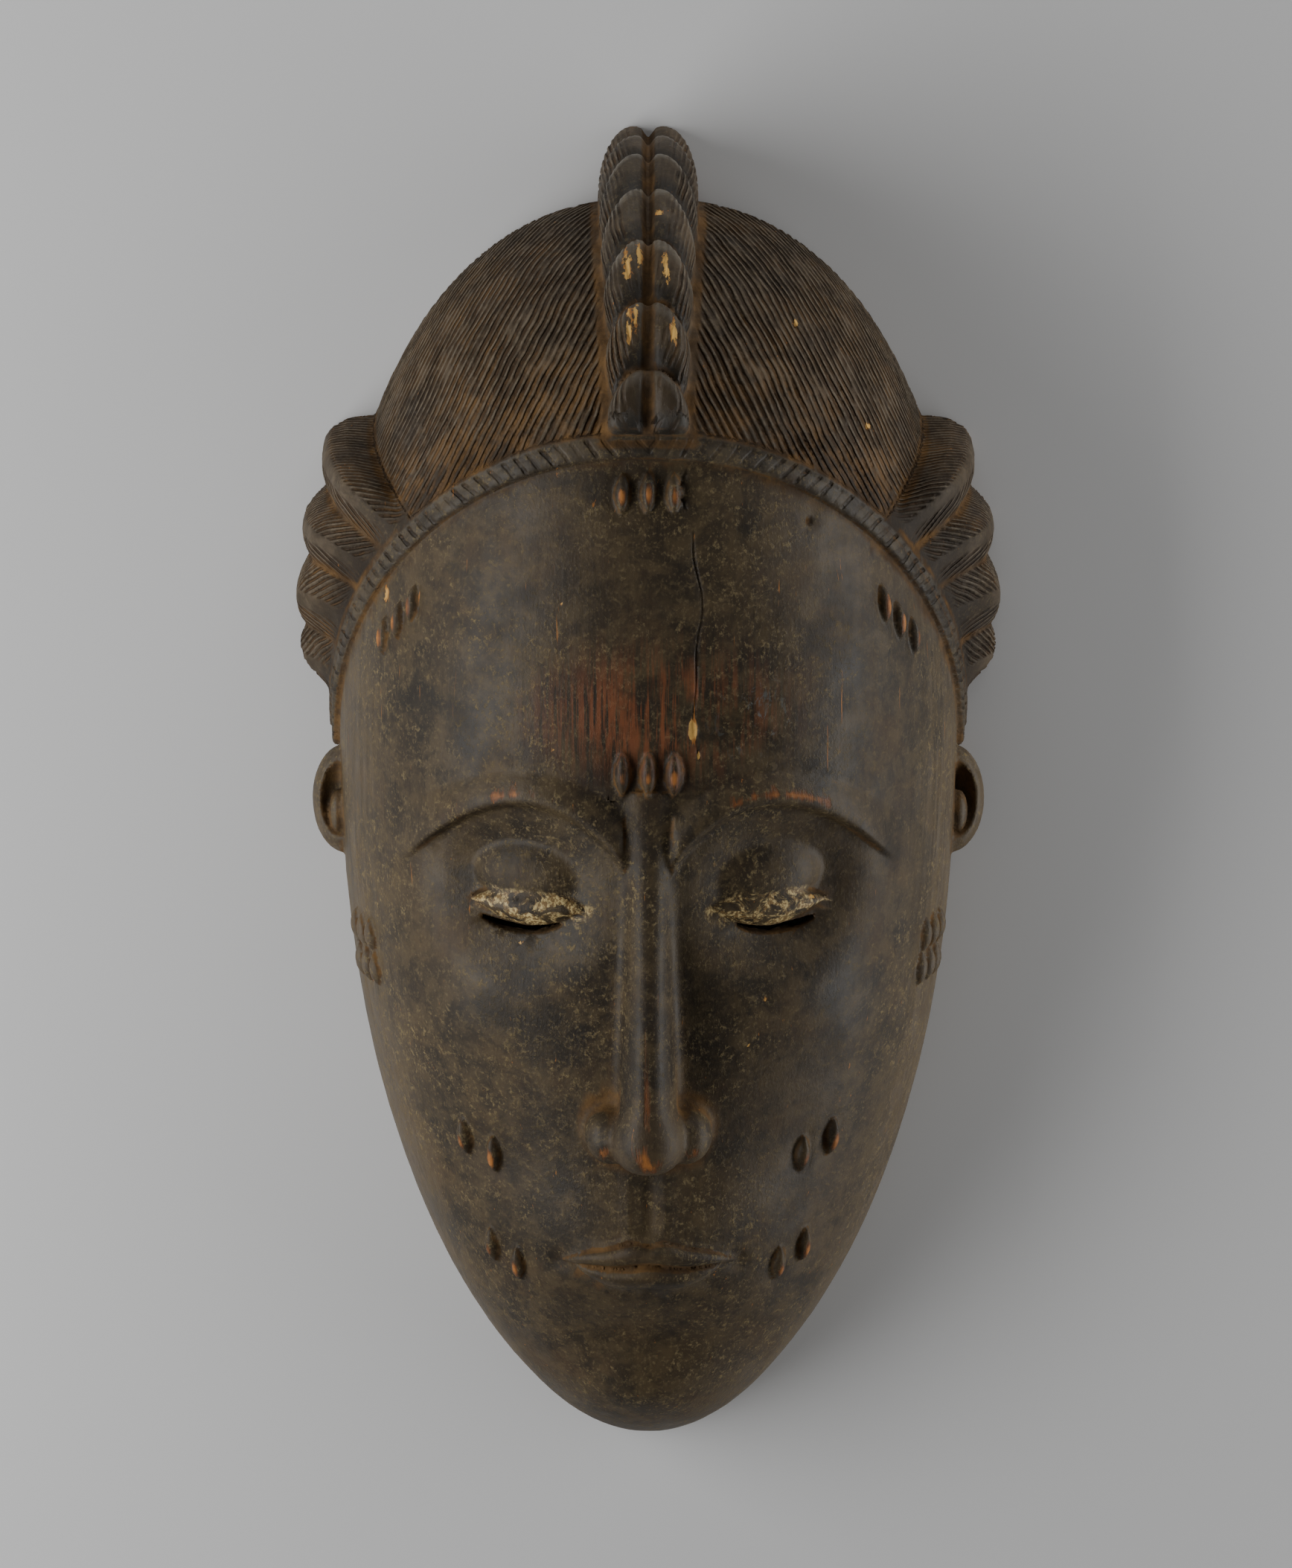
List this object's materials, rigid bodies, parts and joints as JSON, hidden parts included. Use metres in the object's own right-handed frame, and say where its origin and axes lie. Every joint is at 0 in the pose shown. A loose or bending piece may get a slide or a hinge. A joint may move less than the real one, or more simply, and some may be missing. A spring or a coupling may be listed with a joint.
{
  "type": "baule mask",
  "caption": "Carved wooden face mask with a hollow back, closed eyes, herringbone side braids and a notched crest of hair.",
  "frame": {"origin": "middle of the bounding box, in the plane of the flat back rim", "axes": "+Z out of the face, +Y towards the crown, +X towards the viewer's right"},
  "size_m": [0.198, 0.3756, 0.1043],
  "materials": {
    "dark_wood": "satin"
  },
  "bodies": {
    "root": {"mask": "dark_wood"}
  },
  "joints": []
}
